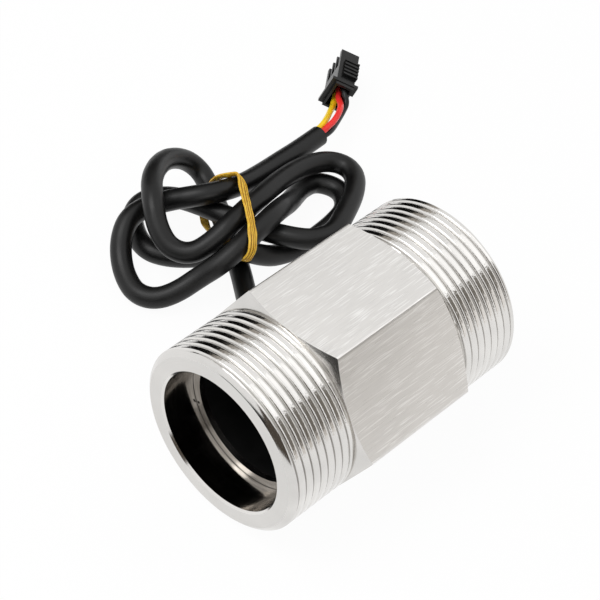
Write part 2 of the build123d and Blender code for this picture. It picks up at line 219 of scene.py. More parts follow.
class SensorStageSettings(bpy.types.PropertyGroup):
    """Light and camera"""

    lens: FloatProperty(
        name="Lens", description="Focal length in millimetres on a 36 mm sensor",
        default=128.96, min=20, max=300, unit="CAMERA"
    )
    sky_strength: FloatProperty(
        name="Sky", description="Light from all round on matt surfaces", default=0.75, min=0, max=3
    )
    key_strength: FloatProperty(
        name="Key", description="Power of the key lamp in watts",
        default=1.6, min=0, max=50, unit="POWER"
    )


# Small helpers.


def add_node(tree, kind, inputs=None, **settings):
    """Adds a node, sets it up and joins or fills its inputs."""
    made = tree.nodes.new(kind)
    for key, value in settings.items():
        setattr(made, key, value)
    for key, value in (inputs or {}).items():
        if isinstance(value, bpy.types.NodeSocket):
            tree.links.new(value, made.inputs[key])
        else:
            made.inputs[key].default_value = value
    return made


def new_material(name):
    """An empty node material with its surface shader and output, and object coordinates."""
    mat = bpy.data.materials.new(name)
    mat.use_nodes = True
    tree = mat.node_tree
    tree.nodes.clear()
    shader = add_node(tree, "ShaderNodeBsdfPrincipled")
    add_node(tree, "ShaderNodeOutputMaterial", {"Surface": shader.outputs["BSDF"]})
    where = add_node(tree, "ShaderNodeTexCoord").outputs["Object"]
    return mat, tree, shader, where


def wander(tree, shader, tones, rough, pattern, rough_pattern=None):
    """Lets the colour go between two tones, hex or linear, and the roughness between two values, along
    patterns of 0 to 1. Gives back the colour."""
    ramp = add_node(tree, "ShaderNodeValToRGB", {"Fac": pattern})
    for stop, place, tone in zip(ramp.color_ramp.elements, (0.3, 0.7), tones):
        stop.position = place
        stop.color = linear(tone) if isinstance(tone, str) else tone
    limits = {"From Min": 0.25, "From Max": 0.75, "To Min": rough[0], "To Max": rough[1]}
    gloss = add_node(tree, "ShaderNodeMapRange", {"Value": rough_pattern or pattern, **limits})
    tree.links.new(ramp.outputs["Color"], shader.inputs["Base Color"])
    tree.links.new(gloss.outputs["Result"], shader.inputs["Roughness"])
    return ramp.outputs["Color"]


def shades(colour, dark, light):
    """A darker and a lighter linear colour with alpha, as factors of one colour."""
    return tuple(c * dark for c in colour) + (1,), tuple(min(1, c * light) for c in colour) + (1,)


def mesh_piece(name, verts, faces, material=None):
    """A new mesh object in the scene."""
    mesh = bpy.data.meshes.new(name)
    mesh.from_pydata([tuple(v) for v in verts], [], faces)
    obj = bpy.data.objects.new(name, mesh)
    bpy.context.scene.collection.objects.link(obj)
    if material:
        mesh.materials.append(material)
    return obj


def shade(obj, degrees):
    """Shades smooth, with edges sharper than an angle kept sharp."""
    obj.data.shade_smooth()
    obj.data.set_sharp_from_angle(angle=math.radians(degrees))


def dress(node, material, degrees=35):
    """Gives a solid of the frame its finish and smooth shading."""
    obj = NODES[node]
    obj.data.materials.clear()
    obj.data.materials.append(material)
    shade(obj, degrees)
    return obj


def nurbs_line(name, points, radius, closed=False, resolution=8, ring=8):
    """A smooth tube round a line on control points in millimetres, with its radius in metres."""
    curve = bpy.data.curves.new(name, "CURVE")
    curve.dimensions = "3D"
    curve.bevel_depth = radius
    curve.bevel_resolution = ring
    curve.use_fill_caps = not closed
    spline = curve.splines.new("NURBS")
    spline.points.add(len(points) - 1)
    for point, where in zip(spline.points, points):
        point.co = (*(v * MM for v in where), 1)
    spline.order_u = 3
    spline.use_endpoint_u = not closed
    spline.use_cyclic_u = closed
    spline.resolution_u = resolution
    obj = bpy.data.objects.new(name, curve)
    bpy.context.scene.collection.objects.link(obj)
    return obj


# Materials.


def brushed_steel_flat():
    # Stainless bar, milled and brushed along its length: warm grey, fine streaks along X.
    mat, tree, shader, where = new_material("stainless_brushed")
    # Brush lines are 0.05 mm across in life. Drawn six to a millimetre and 11 mm long, so that they show.
    stretched = add_node(
        tree, "ShaderNodeMapping", {"Vector": where, "Scale": (0.09 / MM, 6 / MM, 6 / MM)}
    ).outputs["Vector"]
    lines = add_node(
        tree, "ShaderNodeTexNoise", {"Vector": stretched, "Scale": 1.0, "Detail": 4.0, "Roughness": 0.6}
    ).outputs["Fac"]
    # Slow change of tone over 17 mm.
    blotch = add_node(tree, "ShaderNodeTexNoise", {"Vector": where, "Scale": 0.06 / MM, "Detail": 2.0})
    part = add_node(tree, "ShaderNodeMath", {0: blotch.outputs["Fac"], 1: 0.25}, operation="MULTIPLY")
    sum_of = {0: lines, 1: 0.75, 2: part.outputs[0]}
    mixed = add_node(tree, "ShaderNodeMath", sum_of, operation="MULTIPLY_ADD")
    tones = shades(bpy.context.scene.sensor_body.steel_colour, 0.95, 1.14)
    ground = wander(tree, shader, tones, (0.24, 0.4), mixed.outputs[0], lines)
    # Single grit scratches are 5 mm long and 0.1 mm across in life. Drawn 6 mm by 0.15 mm.
    short = add_node(
        tree, "ShaderNodeMapping", {"Vector": where, "Scale": (0.16 / MM, 4.2 / MM, 4.2 / MM)}
    ).outputs["Vector"]
    scratch = add_node(
        tree, "ShaderNodeTexNoise", {"Vector": short, "Scale": 1.0, "Detail": 0.0}
    ).outputs["Fac"]
    picked = add_node(
        tree, "ShaderNodeMapRange", {"Value": scratch, "From Min": 0.63, "From Max": 0.69, "To Max": 0.7}
    )
    # Sockets 0, 6 and 7 of a colour mix are its factor and its two colours.
    over = {0: picked.outputs["Result"], 6: ground, 7: linear("#fbfaf8")}
    tinted = add_node(tree, "ShaderNodeMix", over, data_type="RGBA")
    tree.links.new(tinted.outputs[2], shader.inputs["Base Color"])
    height = add_node(tree, "ShaderNodeMath", {0: scratch, 1: 0.6, 2: lines}, operation="MULTIPLY_ADD")
    bump = add_node(
        tree, "ShaderNodeBump", {"Height": height.outputs[0], "Strength": 0.14, "Distance": 0.02 * MM}
    )
    tree.links.new(bump.outputs["Normal"], shader.inputs["Normal"])
    shader.inputs["Metallic"].default_value = 1.0
    return mat


def turned_steel(name, low, high, dark=0.9, light=1.05, chatter=0.0):
    # Stainless turned on a lathe: tool lines run round the axis, so the gloss changes along X only.
    mat, tree, shader, where = new_material(name)
    parts = add_node(tree, "ShaderNodeSeparateXYZ", {"Vector": where})
    round_way = add_node(tree, "ShaderNodeCombineXYZ", {"X": parts.outputs["Y"], "Y": parts.outputs["Z"]})
    radius = add_node(tree, "ShaderNodeVectorMath", {0: round_way.outputs["Vector"]}, operation="LENGTH")
    along = add_node(tree, "ShaderNodeCombineXYZ", {"X": parts.outputs["X"], "Y": radius.outputs["Value"]})
    # Feed lines are 0.12 mm apart in life. Drawn 0.25 mm apart.
    lines = add_node(
        tree, "ShaderNodeTexNoise", {"Vector": along.outputs["Vector"], "Scale": 4 / MM, "Detail": 3.0}
    ).outputs["Fac"]
    # Handling marks about 11 mm wide.
    patch = add_node(tree, "ShaderNodeTexNoise", {"Vector": where, "Scale": 0.09 / MM, "Detail": 2.0})
    tones = shades(bpy.context.scene.sensor_body.steel_colour, dark, light)
    wander(tree, shader, tones, (low, high), patch.outputs["Fac"], lines)
    bump = add_node(tree, "ShaderNodeBump", {"Height": lines, "Strength": 0.1, "Distance": 0.02 * MM})
    if chatter:
        # The tool chattered: dents about 0.7 mm apart and a few hundredths of a millimetre deep.
        dents = add_node(tree, "ShaderNodeTexNoise", {"Vector": where, "Scale": 1.4 / MM, "Detail": 2.0})
        dented = {"Height": dents.outputs["Fac"], "Strength": 0.5, "Distance": chatter}
        bump = add_node(tree, "ShaderNodeBump", {**dented, "Normal": bump.outputs["Normal"]})
    tree.links.new(bump.outputs["Normal"], shader.inputs["Normal"])
    shader.inputs["Metallic"].default_value = 1.0
    return mat


def bored_steel():
    # Inside of the bore: reamed stainless, its colour darkened to brown-grey as painted shade inside the
    # bore, with paler, rougher streaks that are painted reflections of light let into the bore.
    mat, tree, shader, where = new_material("stainless_bored")
    # Streaks run round the wall, 0.7 mm apart along X and 6 mm long.
    stretched = add_node(
        tree, "ShaderNodeMapping", {"Vector": where, "Scale": (1.5 / MM, 0.16 / MM, 0.16 / MM)}
    ).outputs["Vector"]
    lines = add_node(
        tree, "ShaderNodeTexNoise", {"Vector": stretched, "Scale": 1.0, "Detail": 3.0}
    ).outputs["Fac"]
    # The brown-grey tones are painted shade, and the paler tone that goes with the rougher streaks is painted
    # reflection.
    wander(tree, shader, ("#87827c", "#a8a39d"), (0.1, 0.15), lines)
    bump = add_node(tree, "ShaderNodeBump", {"Height": lines, "Strength": 0.1, "Distance": 0.01 * MM})
    tree.links.new(bump.outputs["Normal"], shader.inputs["Normal"])
    shader.inputs["Metallic"].default_value = 1.0
    return mat


def moulded_plastic(name, dark, light, low, high, grain=2.5, depth=0.03, specular=0.5):
    # Injection moulded or extruded plastic: an even colour with a faint grain from the spark-eroded tool.
    # The grain is a count to the millimetre, and its depth is in millimetres.
    mat, tree, shader, where = new_material(name)
    patch = add_node(
        tree, "ShaderNodeTexNoise", {"Vector": where, "Scale": 0.18 / MM, "Detail": 3.0}
    ).outputs["Fac"]
    grains = add_node(tree, "ShaderNodeTexNoise", {"Vector": where, "Scale": grain / MM, "Detail": 2.0})
    wander(tree, shader, (dark, light), (low, high), patch)
    bump = add_node(
        tree, "ShaderNodeBump", {"Height": grains.outputs["Fac"], "Strength": 0.15, "Distance": depth * MM}
    )
    tree.links.new(bump.outputs["Normal"], shader.inputs["Normal"])
    shader.inputs["IOR"].default_value = 1.5
    shader.inputs["Specular IOR Level"].default_value = specular
    return mat


def insulation(name, colour):
    # Extruded PVC insulation: clean colour with a soft plastic gloss.
    known = bpy.data.materials.get("pvc_wire_" + name)
    if known:
        return known
    dark, light = shades(colour, 0.85, 1.1)
    return moulded_plastic("pvc_wire_" + name, dark, light, 0.22, 0.34, grain=1.2, specular=0.3)


def latex_band(name, dark, light):
    # Natural latex strip: translucent ochre, dusty with talc in grains of about 1 mm, dull sheen.
    mat, tree, shader, where = new_material(name)
    dust = add_node(
        tree, "ShaderNodeTexNoise", {"Vector": where, "Scale": 0.9 / MM, "Detail": 4.0}
    ).outputs["Fac"]
    wander(tree, shader, (dark, light), (0.45, 0.65), dust)
    shader.inputs["Subsurface Weight"].default_value = 0.1
    shader.inputs["Subsurface Radius"].default_value = (2 * MM, 1 * MM, 0.5 * MM)
    shader.inputs["Subsurface Scale"].default_value = 0.3
    bump = add_node(tree, "ShaderNodeBump", {"Height": dust, "Strength": 0.25, "Distance": 0.05 * MM})
    tree.links.new(bump.outputs["Normal"], shader.inputs["Normal"])
    return mat


def glowing_card(name, tone, strength):
    # Photographer's card or lamp face: plain emission.
    paint = bpy.data.materials.new(name)
    paint.use_nodes = True
    tree = paint.node_tree
    tree.nodes.clear()
    shown = add_node(tree, "ShaderNodeEmission", {"Color": linear(tone), "Strength": strength})
    add_node(tree, "ShaderNodeOutputMaterial", {"Surface": shown.outputs[0]})
    return paint


def seen_directly(tree):
    """1 for rays from the camera and rays that steel reflects or glass lets through, otherwise 0."""
    rays = add_node(tree, "ShaderNodeLightPath")
    by_eye = {0: rays.outputs["Is Camera Ray"], 1: rays.outputs["Is Glossy Ray"]}
    in_steel = add_node(tree, "ShaderNodeMath", by_eye, operation="MAXIMUM")
    sources = {0: in_steel.outputs[0], 1: rays.outputs["Is Transmission Ray"]}
    return add_node(tree, "ShaderNodeMath", sources, operation="MAXIMUM").outputs[0]


def white_sheet():
    # White paper sweep: blown out white to the eye, with 1/20 matt paper that keeps a faint shadow.
    sheet = bpy.data.materials.new("white_sheet")
    sheet.use_nodes = True
    tree = sheet.node_tree
    tree.nodes.clear()
    matt = add_node(tree, "ShaderNodeBsdfDiffuse", {"Color": linear("#f4f4f4")})
    glow = add_node(tree, "ShaderNodeEmission", {"Color": (1, 1, 1, 1), "Strength": 1.0})
    part = add_node(tree, "ShaderNodeMath", {0: seen_directly(tree), 1: 0.95}, operation="MULTIPLY")
    shaders = {0: part.outputs[0], 1: matt.outputs[0], 2: glow.outputs[0]}
    mixed = add_node(tree, "ShaderNodeMixShader", shaders)
    add_node(tree, "ShaderNodeOutputMaterial", {"Surface": mixed.outputs[0]})
    return sheet


# The steel body.


def thread_height(x, turn, sizes):
    """Radius of the 55 degree pipe thread, its crests turned flat, at a place and a turn in radians."""
    pitch = sizes.thread_pitch
    phase = (x / pitch - turn / (2 * math.pi) + 0.5) % 1.0 - 0.5
    inside = (pitch - sizes.crest_width) / 2 - abs(phase) * pitch
    if abs(inside) < sizes.crest_edge:
        inside = (inside + sizes.crest_edge) ** 2 / (4 * sizes.crest_edge)
    sunk = max(0.0, inside) / math.tan(THREAD_FLANK)
    return sizes.thread_radius - min(sunk, sizes.thread_depth)


def thread_steps(sizes):
    """Places in one pitch, as parts of it, where the thread's profile needs vertices."""
    edge = (sizes.thread_pitch - sizes.crest_width) / 2
    foot = edge - sizes.thread_depth * math.tan(THREAD_FLANK)
    near = sizes.crest_edge
    places = [-foot, foot, edge - near, edge, edge + near, -edge - near, -edge, -edge + near]
    crest = sizes.crest_width - 2 * near
    places += [edge + near + crest * part for part in (0.25, 0.5, 0.75)]
    return sorted(place / sizes.thread_pitch for place in places)


def body_columns():
    """Angles round the body, with a close pair beside each corner of the hexagon."""
    step = 1.5
    beside = 0.45
    angles = []
    for corner in range(0, 360, 60):
        angles += [corner - beside, corner, corner + beside]
        angles += [corner + step * j for j in range(1, 40)]
    return [math.radians(a) for a in sorted(a % 360 for a in angles)]


def hex_radius(turn, sizes):
    """Radius of the hexagon at a turn, with its corners just broken."""
    half = sizes.across_flats / 2
    corner_break = 0.06 * MM
    off = (math.degrees(turn) % 60) - 30
    radius = half / math.cos(math.radians(off))
    return min(radius, half / math.cos(math.radians(30)) - corner_break)


def build_body_mesh(sizes):
    """Vertices, faces and finishes of the body, whose thread rings follow the helix."""
    half = sizes.half_length
    shoulder = sizes.hex_half_length
    flat = sizes.across_flats / 2
    slope = (2 / math.sqrt(3) - 1) * flat / (shoulder - sizes.corner_half_length)
    root = sizes.thread_radius - sizes.thread_depth
    relief = root - 0.1 * MM
    bore = sizes.bore_radius
    chamfer = 1.5 * MM
    bevel = 0.5 * MM
    # The thread runs out into a relief beside the hexagon, at this slope and over this much of X.
    gap = 0.3 * MM
    run_out_slope = 2.2
    start = shoulder + 0.2 * MM
    # A line of vertices this far inside an edge keeps its shading sharp.
    hair = 0.02 * MM
    pitch = sizes.thread_pitch
    steps = thread_steps(sizes)
    flank = ((pitch - sizes.crest_width) / 2 - sizes.crest_edge) / pitch + 1e-6
    sunk = [k for k in range(len(steps) - 1) if abs(steps[k]) < flank and abs(steps[k + 1]) < flank]
    columns = body_columns()
    rings = []
    kinds = []
    skips = {}
    grooves = set()

    def ring(kind, x, radius):
        """One ring of vertices, its place and radius given as numbers or as functions of the turn."""
        line = [(x(t) if callable(x) else x, radius(t) if callable(radius) else radius, t) for t in columns]
        rings.append(line)
        kinds.append(kind)

    def envelope(x, t):
        """Radius of the threaded end, less its end chamfer and the run-out at the hexagon."""
        u = abs(x)
        # The turned chamfer is a little convex, flush with the crests where it starts.
        part = max(0.0, u - (half - chamfer)) / chamfer
        radius = min(thread_height(x, t, sizes), sizes.thread_radius - chamfer * part**1.6)
        run_out = relief + max(0.0, u - shoulder - gap) * run_out_slope
        return min(radius, max(relief, run_out))

    def threaded(low, high):
        """Rings along one thread, sheared to run with the helix and held within its ends."""
        first = len(rings)
        for k in range(math.floor(low / pitch) - 2, math.ceil(high / pitch) + 2):
            for part in steps:
                line = []
                for t in columns:
                    x = min(high, max(low, (k + part + t / (2 * math.pi)) * pitch))
                    line.append((x, envelope(x, t), t))
                rings.append(line)
                kinds.append("thread")
        for i in range(first, len(rings)):
            skips[i] = min(i + len(steps), len(rings) - 1)
            if (i - first) % len(steps) in sunk:
                grooves.add(i)

    def end_rings(side):
        """Rings of the chamfer and face, from the chamfer's foot to the mouth of the bore."""
        count = 14
        for k in range(1, count + 1):
            u = half - chamfer + chamfer * k / count
            ring("chamfer", side * u, lambda t, u=u: envelope(side * u, t))
        ring("face", side * half, lambda t: envelope(half, t) - hair)
        ring("face", side * half, lambda t: (bore + bevel + root) / 2)
        ring("face", side * half, bore + bevel)

    def shoulder_rings(side):
        """Rings of the relief and of the cone that turns the hexagon's corners down."""
        ring("thread", side * (shoulder + 0.1 * MM), relief)
        ring("cone", side * shoulder, relief)
        ring("cone", side * shoulder, flat - hair)
        for part in (0.5, 1.0):
            ring(
                "cone" if part < 1 else "flat",
                lambda t, p=part: side * (shoulder - p * (hex_radius(t, sizes) - flat) / slope),
                lambda t, p=part: flat + p * (hex_radius(t, sizes) - flat),
            )

    def backwards(build, side):
        """Adds an end's rings in the order that goes in along X."""
        first = len(rings)
        build(side)
        rings[first:] = rings[first:][::-1]
        kinds[first:] = kinds[first:][::-1]

    backwards(end_rings, -1)
    threaded(-(half - chamfer), -start)
    shoulder_rings(-1)
    for part in (-0.6, -0.2, 0.2, 0.6):
        ring("flat", part * sizes.corner_half_length, lambda t: hex_radius(t, sizes))
    backwards(shoulder_rings, 1)
    threaded(start, half - chamfer)
    end_rings(1)
    # Wall of the bore, with the two grooves that hold the snap rings.
    near, far, deep = 26.7 * MM, 28.3 * MM, 19 * MM
    wall = [(half - bevel, bore), (half - 3 * MM, bore), (half - 6 * MM, bore)]
    wall += [(far, bore), (far, deep), (near, deep), (near, bore), (12 * MM, bore)]
    for x, radius in wall + [(-x, radius) for x, radius in reversed(wall)]:
        ring("bore", x, radius)
    verts = [(x, r * math.cos(turn), r * math.sin(turn)) for line in rings for x, r, turn in line]
    width = len(columns)
    total = len(rings)
    faces = []
    face_kinds = []
    for i in range(total):
        nxt = (i + 1) % total
        pair = (kinds[i], kinds[nxt])
        for j in range(width):
            here, there = i * width + j, nxt * width + j
            if j < width - 1:
                faces.append((here, here + 1, there + 1, there))
            else:
                # Past the last column a thread ring goes on in the ring one pitch along.
                faces.append((here, skips.get(i, i) * width, skips.get(nxt, nxt) * width, there))
            if pair[0] == pair[1]:
                face_kinds.append("groove" if i in grooves else pair[0])
            elif "bore" in pair:
                face_kinds.append("bevel")
            elif "flat" in pair:
                face_kinds.append("cone" if "cone" in pair else "flat")
            elif "face" in pair:
                face_kinds.append("chamfer")
            else:
                face_kinds.append("chamfer" if "chamfer" in pair else "cone")
    return verts, faces, face_kinds


def clean(mesh, weld=0.0):
    """Welds vertices within a distance, if one is given, and turns all faces outwards."""
    work = bmesh.new()
    work.from_mesh(mesh)
    if weld:
        bmesh.ops.remove_doubles(work, verts=work.verts, dist=weld)
        bmesh.ops.dissolve_degenerate(work, edges=work.edges, dist=weld / 10)
    bmesh.ops.recalc_face_normals(work, faces=work.faces)
    work.to_mesh(mesh)
    work.free()


def cut_pocket(context, obj, flat):
    """Cuts the round pocket for the board and the lead into the body's lower flat."""
    cutter = bmesh.new()
    size = {"radius1": POCKET_RADIUS, "radius2": POCKET_RADIUS, "depth": POCKET_CUTTER_LENGTH}
    bmesh.ops.create_cone(cutter, cap_ends=True, segments=72, **size)
    tool = bpy.data.meshes.new("pocket_tool")
    normal = Vector((0, math.cos(POCKET_ANGLE), math.sin(POCKET_ANGLE)))
    turn = normal.to_track_quat("Z", "X").to_matrix().to_4x4()
    cutter.transform(Matrix.Translation(Vector((POCKET_PLACE, 0, 0)) + normal * flat) @ turn)
    cutter.to_mesh(tool)
    cutter.free()
    tool_obj = bpy.data.objects.new("pocket_tool", tool)
    context.scene.collection.objects.link(tool_obj)
    cut = obj.modifiers.new("pocket", "BOOLEAN")
    cut.object = tool_obj
    cut.operation = "DIFFERENCE"
    cut.solver = "EXACT"
    context.view_layer.update()
    cut_mesh = bpy.data.meshes.new_from_object(obj.evaluated_get(context.evaluated_depsgraph_get()))
    obj.modifiers.clear()
    obj.data = cut_mesh
    bpy.data.objects.remove(tool_obj)
    fewest_faces = 20000
    if len(cut_mesh.polygons) < fewest_faces:
        raise RuntimeError("the body lost its thread when the pocket was cut")


class SENSOR_OT_body(bpy.types.Operator):
    """Turned and milled steel body with a cut pipe thread on each end"""

    bl_idname = "sensor.body"
    bl_label = "Body"

    def execute(self, context):
        sizes = context.scene.sensor_body
        verts, faces, face_kinds = build_body_mesh(sizes)
        obj = mesh_piece("steel_body", verts, faces)
        # Crests and chamfers are bright from the tool, and the thread's grooves stay rough and dull, their
        # colour darkened as painted shade.
        # The faced ends are satin, and the turned-down corners lie between.
        finishes = {
            "flat": brushed_steel_flat(),
            "thread": turned_steel("stainless_thread", 0.1, 0.18, 0.95, 1.12, chatter=0.07 * MM),
            # The grooves' darker tones (0.82 to 1.0, against 0.95 to 1.12 on the crests) are painted shade in
            # the thread's grooves.
            "groove": turned_steel("stainless_groove", 0.45, 0.6, 0.82, 1.0),
            "chamfer": turned_steel("stainless_chamfer", 0.1, 0.18),
            "cone": turned_steel("stainless_corner", 0.14, 0.24),
            "face": turned_steel("stainless_faced", 0.3, 0.42, 0.97, 1.03),
            "bore": bored_steel(),
            "bevel": turned_steel("stainless_bevel", 0.12, 0.2, 1.0, 1.1),
        }
        names = list(finishes)
        for name in names:
            obj.data.materials.append(finishes[name])
        for face, kind in zip(obj.data.polygons, face_kinds):
            face.material_index = names.index(kind)
        clean(obj.data, weld=1e-7)
        cut_pocket(context, obj, sizes.across_flats / 2)
        shade(obj, 40)
        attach(obj, HOUSING)
        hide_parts("body")
        return {"FINISHED"}


class SENSOR_OT_inner(bpy.types.Operator):
    """Snap rings, guides, sleeve, wheel, shaft, bushes and washers"""

    bl_idname = "sensor.inner"
    bl_label = "Inner Pieces"

    def execute(self, context):
        # Spring steel strip with a bright rolled surface.
        spring = turned_steel("spring_steel", 0.14, 0.24, 0.95, 1.08)
        # Glass-filled black plastic, dull and very dark so that the bore looks black.
        liner = moulded_plastic("filled_nylon_black", "#070707", "#0b0b0b", 0.5, 0.7, specular=0.25)
        # Moulded acetal has a waxy satin surface, black in the wheel and milky white in the bearings.
        wheel = moulded_plastic("acetal_black", "#121213", "#1a1a1b", 0.35, 0.5)
        bearing = moulded_plastic("acetal_white", "#d8d5cd", "#e8e6df", 0.35, 0.5)
        # Ground steel is bright, and the magnets' nickel plate is bright and a little darker.
        ground = turned_steel("ground_shaft", 0.1, 0.2)
        nickel = turned_steel("nickel_plate", 0.1, 0.18, 0.85, 0.95)
        for node in ("inlet_snap_ring", "outlet_snap_ring"):
            dress(node, spring)
        for node in ("inlet_guide", "outlet_guide", "liner_sleeve"):
            dress(node, liner)
        dress("rotor", wheel)
        dress("shaft", ground)
        for node in ("inlet_bush", "outlet_bush", "inlet_thrust_washer", "outlet_thrust_washer"):
            dress(node, bearing)
        for k in range(1, 5):
            dress("rotor_magnet_%d" % k, nickel)
        return {"FINISHED"}


class SENSOR_OT_sensing(bpy.types.Operator):
    """Sensing board, its parts and leads, and the epoxy that closes the pocket"""

    bl_idname = "sensor.sensing"
    bl_label = "Sensing Board"

    def execute(self, context):
        # Poured epoxy: near black and glossy, with a slow waviness where it set.
        epoxy = moulded_plastic("potting_epoxy", "#101011", "#161617", 0.12, 0.3, grain=0.5)
        dress("potting", epoxy)
        # Moulded chip: dull dark grey. Glass fibre board: green under a lacquer with a soft gloss.
        dress("hall_sensor", moulded_plastic("chip_epoxy", "#141414", "#1c1c1c", 0.45, 0.6))
        dress("sensor_board", moulded_plastic("glass_fibre_board", "#0f3d1e", "#175029", 0.3, 0.45))
        # Fired ceramic: the resistor black under its glaze, the capacitor matt brown.
        dress("board_resistor", moulded_plastic("fired_resistor", "#1a1a1c", "#242427", 0.3, 0.5))
        dress("board_capacitor", moulded_plastic("ceramic_capacitor", "#8a6a45", "#9b7b55", 0.4, 0.6))
        for name in ("black", "red", "yellow"):
            dress("lead_" + name, insulation(name, getattr(context.scene.sensor_lead, name)))
        return {"FINISHED"}


class SENSOR_OT_cable(bpy.types.Operator):
    """Black sheathed lead, coiled and crossing itself"""

    bl_idname = "sensor.cable"
    bl_label = "Cable"

    def execute(self, context):
        lead = context.scene.sensor_lead
        obj = nurbs_line("cable_sheath", CABLE_ROUTE, lead.cable_diameter / 2, resolution=10, ring=9)
        # Soft extruded PVC: satin black, a faint drawn grain and scuffs.
        grain = {"grain": 1.5, "depth": 0.04, "specular": 0.32}
        jacket = moulded_plastic("pvc_sheath_black", "#0a0a0a", "#121212", 0.32, 0.46, **grain)
        obj.data.materials.append(jacket)
        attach(obj, HOUSING)
        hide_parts("cable")
        return {"FINISHED"}


class SENSOR_OT_wires(bpy.types.Operator):
    """Three insulated wires between the sheath and the connector"""

    bl_idname = "sensor.wires"
    bl_label = "Wires"

    def execute(self, context):
        lead = context.scene.sensor_lead
        for name, route in WIRE_ROUTES.items():
            radius = lead.wire_diameter / 2
            obj = nurbs_line("wire_%s_insulation" % name, route, radius, resolution=10, ring=6)
            obj.data.materials.append(insulation(name, getattr(lead, name)))
            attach(obj, HOUSING)
            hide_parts("wire_" + name)
        return {"FINISHED"}


class SENSOR_OT_connector(bpy.types.Operator):
    """Wire connector housing with its latch ribs, and its three contacts"""

    bl_idname = "sensor.connector"
    bl_label = "Connector"

    def execute(self, context):
        # Moulded nylon: near black, with a soft gloss that draws a thin light line on each edge.
        nylon = moulded_plastic("nylon_black", "#0d0d0d", "#161616", 0.2, 0.32, grain=0.9, specular=0.3)
        dress("connector_housing", nylon, 25)
        # Tinned brass, stamped: bright and a little soft.
        tinned = turned_steel("tinned_contact", 0.15, 0.25, 0.95, 1.05)
        for name in ("black", "red", "yellow"):
            dress("contact_" + name, tinned)
        return {"FINISHED"}


class SENSOR_OT_band(bpy.types.Operator):
    """Flat elastic band round the crossing strands"""

    bl_idname = "sensor.band"
    bl_label = "Elastic Band"

    def execute(self, context):
        line = nurbs_line("band_line", BAND_ROUTE, 0.0, closed=True)
        context.view_layer.update()
        track = bpy.data.meshes.new_from_object(line.evaluated_get(context.evaluated_depsgraph_get()))
        points = [v.co.copy() for v in track.vertices]
        bpy.data.objects.remove(line)
        count = len(points)
        middle = sum(points, Vector()) / count
        half = context.scene.sensor_lead.band_width / 2
        thick = 0.4 * MM
        # The band is wound twice and twisted, so four cords of rubber lie side by side. Section of the
        # four, as parts of its half width and of its half thickness.
        profile = [(-1, -0.2), (-0.94, 0.6), (-0.76, 1), (-0.6, 0.75), (-0.52, 0.25), (-0.44, 0.75)]
        profile += [(-0.26, 1), (-0.1, 0.75), (-0.02, 0.25), (0.06, 0.75), (0.24, 1), (0.42, 0.75)]
        profile += [(0.5, 0.25), (0.58, 0.75), (0.76, 1), (0.94, 0.6)]
        profile += [(1, -0.2), (0.6, -1), (0, -0.9), (-0.6, -1)]
        # Faces in the dips between the cords, which get the darker latex as painted shade.
        shaded_folds = (3, 4, 7, 8, 11, 12)
        size = len(profile)
        verts = []
        faces = []
        for k, here in enumerate(points):
            ahead = (points[(k + 1) % count] - points[k - 1]).normalized()
            out = here - middle
            out = (out - ahead * out.dot(ahead)).normalized()
            side = ahead.cross(out)
            # The rubber swells a tenth here and there, and the cords wander across the band.
            swell = 1 + 0.09 * math.sin(k * 0.23) + 0.05 * math.sin(k * 0.61 + 1)
            for x, y in profile:
                wander = (1 - x * x) * 0.16 * math.sin(k * 0.15 + 2.2 * x)
                verts.append(here + side * (x + wander) * half * swell + out * y * thick)
            nxt = (k + 1) % count
            for j in range(size):
                m = (j + 1) % size
                faces.append((k * size + j, k * size + m, nxt * size + m, nxt * size + j))
        obj = mesh_piece("elastic_band", verts, faces, latex_band("natural_latex", "#cf9c1c", "#ecc341"))
        # The darker latex on the dips between the cords is painted shade in the creases.
        obj.data.materials.append(latex_band("natural_latex_fold", "#8a5f0c", "#b17f16"))
        for k, face in enumerate(obj.data.polygons):
            face.material_index = 1 if k % size in shaded_folds else 0
        clean(obj.data)
        shade(obj, 50)
        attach(obj, HOUSING)
        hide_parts("rubber_band")
        return {"FINISHED"}


class SENSOR_OT_lead_facts(bpy.types.Operator):
    """Gathers the pieces that ride on the free lead: the wires, the band, the connector housing and its
    contacts
    """

    bl_idname = "sensor.lead_facts"
    bl_label = "Lead Facts"

    def execute(self, context):
        names = ["wire_black_insulation", "wire_red_insulation", "wire_yellow_insulation", "elastic_band"]
        pieces = [bpy.data.objects[n] for n in names]
        pieces += [NODES[n] for n in ("connector_housing", "contact_black", "contact_red", "contact_yellow")]
        return {"FINISHED"}


# The stage.

